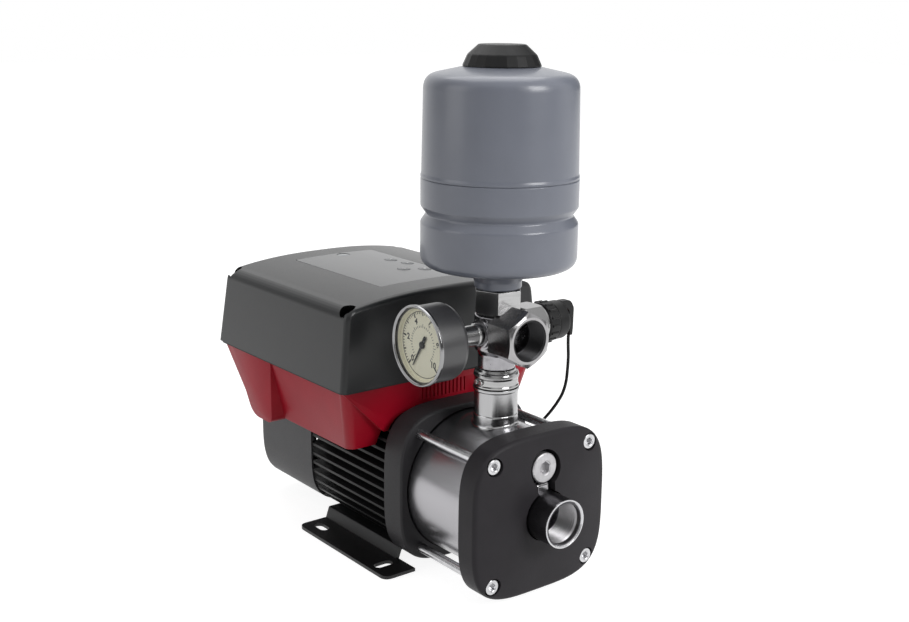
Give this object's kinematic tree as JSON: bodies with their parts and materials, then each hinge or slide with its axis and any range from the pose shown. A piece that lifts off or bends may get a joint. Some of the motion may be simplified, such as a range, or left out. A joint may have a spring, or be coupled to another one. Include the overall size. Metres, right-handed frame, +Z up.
{
  "type": "horizontal multistage pump",
  "caption": "Horizontal multistage booster pump with a ribbed motor, speed control box, outlet fitting, pressure gauge, transmitter and upright diaphragm tank.",
  "frame": {"origin": "centre of the foot's four slotted holes, on the floor that the foot stands on", "axes": "+X along the shaft towards the suction port, +Y away from the gauge, +Z up"},
  "size_m": [0.3785, 0.216, 0.4467],
  "materials": {
    "plate_paint": "satin dark grey paint over a casting",
    "sleeve_steel": "drawn stainless steel, brushed round its axis",
    "port_steel": "polished stainless steel",
    "bolt_steel": "bright turned steel",
    "seal_rubber": "matt black rubber",
    "stage_steel": "pressed stainless steel",
    "shaft_steel": "ground steel",
    "seal_carbon": "matt carbon",
    "motor_black": "black powder coat over cast aluminium",
    "shield_grey": "cast aluminium",
    "core_steel": "stacked electrical steel",
    "winding_copper": "varnished copper wire",
    "fan_plastic": "moulded plastic",
    "cover_grey": "satin grey paint over pressed sheet",
    "foot_black": "black coated sheet steel",
    "base_red": "satin red coat over a casting",
    "box_black": "satin black moulded plastic",
    "board_green": "lacquered circuit board",
    "panel_grey": "printed film without any print",
    "key_grey": "soft moulded keys",
    "lens_smoke": "smoked clear plastic",
    "gland_black": "black moulded plastic",
    "fitting_nickel": "nickel plated brass",
    "sensor_steel": "turned stainless steel",
    "valve_plastic": "moulded plastic",
    "spring_steel": "stainless spring wire",
    "case_black": "black lacquered steel",
    "bezel_chrome": "polished bezel",
    "gauge_glass": "clear glass",
    "dial_cream": "cream dial with plain marks",
    "pointer_black": "black pointer",
    "cable_black": "black cable sheath",
    "tank_grey": "satin blue grey paint over deep drawn steel",
    "valve_brass": "turned brass",
    "cap_black": "black moulded plastic"
  },
  "bodies": {
    "housing": {"front_plate": "plate_paint", "suction_housing": "port_steel", "tie_bolts": "bolt_steel", "pump_sleeve": "sleeve_steel", "sleeve_seals": "seal_rubber", "stage_chambers": "stage_steel", "seal_plate": "stage_steel", "seal_stationary": "seal_carbon", "motor_bracket": "motor_black", "motor_frame": "motor_black", "stator_core": "core_steel", "windings": "winding_copper", "bearing_outers": "shaft_steel", "rear_shield": "shield_grey", "fan_cover": "cover_grey", "foot_plate": "foot_black", "foot_screws": "bolt_steel", "box_base": "base_red", "box_cover": "box_black", "box_gasket": "seal_rubber", "cover_screws": "bolt_steel", "circuit_board": "board_green", "panel_plate": "panel_grey", "indicator_lens": "lens_smoke", "mains_gland": "gland_black", "sensor_gland": "gland_black", "union_ring": "fitting_nickel", "union_seal": "seal_rubber", "valve_cage": "valve_plastic", "valve_spring": "spring_steel", "port_fitting": "fitting_nickel", "gauge_case": "case_black", "gauge_stem": "fitting_nickel", "gauge_bezel": "bezel_chrome", "gauge_glass": "gauge_glass", "gauge_dial": "dial_cream", "transmitter_body": "sensor_steel", "transmitter_plug": "gland_black", "strain_relief": "cable_black", "sensor_cable": "cable_black", "tank_nut": "fitting_nickel", "tank_lower": "tank_grey", "tank_upper": "tank_grey", "diaphragm": "seal_rubber", "air_valve": "valve_brass"},
    "rotor": {"rotor_shaft": "shaft_steel", "rotor_core": "core_steel", "impellers": "stage_steel", "seal_rotating": "shaft_steel", "bearing_inners": "shaft_steel", "cooling_fan": "fan_plastic"},
    "needle": {"gauge_pointer": "pointer_black"},
    "poppet": {"valve_poppet": "valve_plastic"},
    "up_key": {"key_up": "key_grey"},
    "down_key": {"key_down": "key_grey"},
    "power_key": {"key_power": "key_grey"},
    "menu_key": {"key_menu": "key_grey"},
    "plug": {"priming_plug": "port_steel", "priming_seal": "seal_rubber"},
    "cap": {"valve_cap": "cap_black"}
  },
  "joints": [
    {"name": "rotor_turn", "type": "hinge", "parent": "housing", "child": "rotor", "pos_m": [0, 0, 0.075], "axis": [1, 0, 0], "continuous": true},
    {"name": "needle_turn", "type": "hinge", "parent": "housing", "child": "needle", "pos_m": [0.1143, -0.076, 0.2155], "axis": [0, 1, 0], "range_deg": [0, 270]},
    {"name": "poppet_lift", "type": "slide", "parent": "housing", "child": "poppet", "axis": [0, 0, 1], "range_m": [0, 0.007], "stiffness_N_per_m": 120, "springref_m": -0.004, "deforming": ["valve_spring"]},
    {"name": "up_press", "type": "slide", "parent": "housing", "child": "up_key", "axis": [0, 0, -1], "range_m": [0, 0.0005], "stiffness_N_per_m": 400, "springref_m": -0.0005},
    {"name": "down_press", "type": "slide", "parent": "housing", "child": "down_key", "axis": [0, 0, -1], "range_m": [0, 0.0005], "stiffness_N_per_m": 400, "springref_m": -0.0005},
    {"name": "power_press", "type": "slide", "parent": "housing", "child": "power_key", "axis": [0, 0, -1], "range_m": [0, 0.0005], "stiffness_N_per_m": 400, "springref_m": -0.0005},
    {"name": "menu_press", "type": "slide", "parent": "housing", "child": "menu_key", "axis": [0, 0, -1], "range_m": [0, 0.0005], "stiffness_N_per_m": 400, "springref_m": -0.0005},
    {"name": "plug_pull", "type": "slide", "parent": "housing", "child": "plug", "axis": [1, 0, 0], "range_m": [0, 0.012]},
    {"name": "cap_lift", "type": "slide", "parent": "housing", "child": "cap", "axis": [0, 0, 1], "range_m": [0, 0.024]}
  ]
}
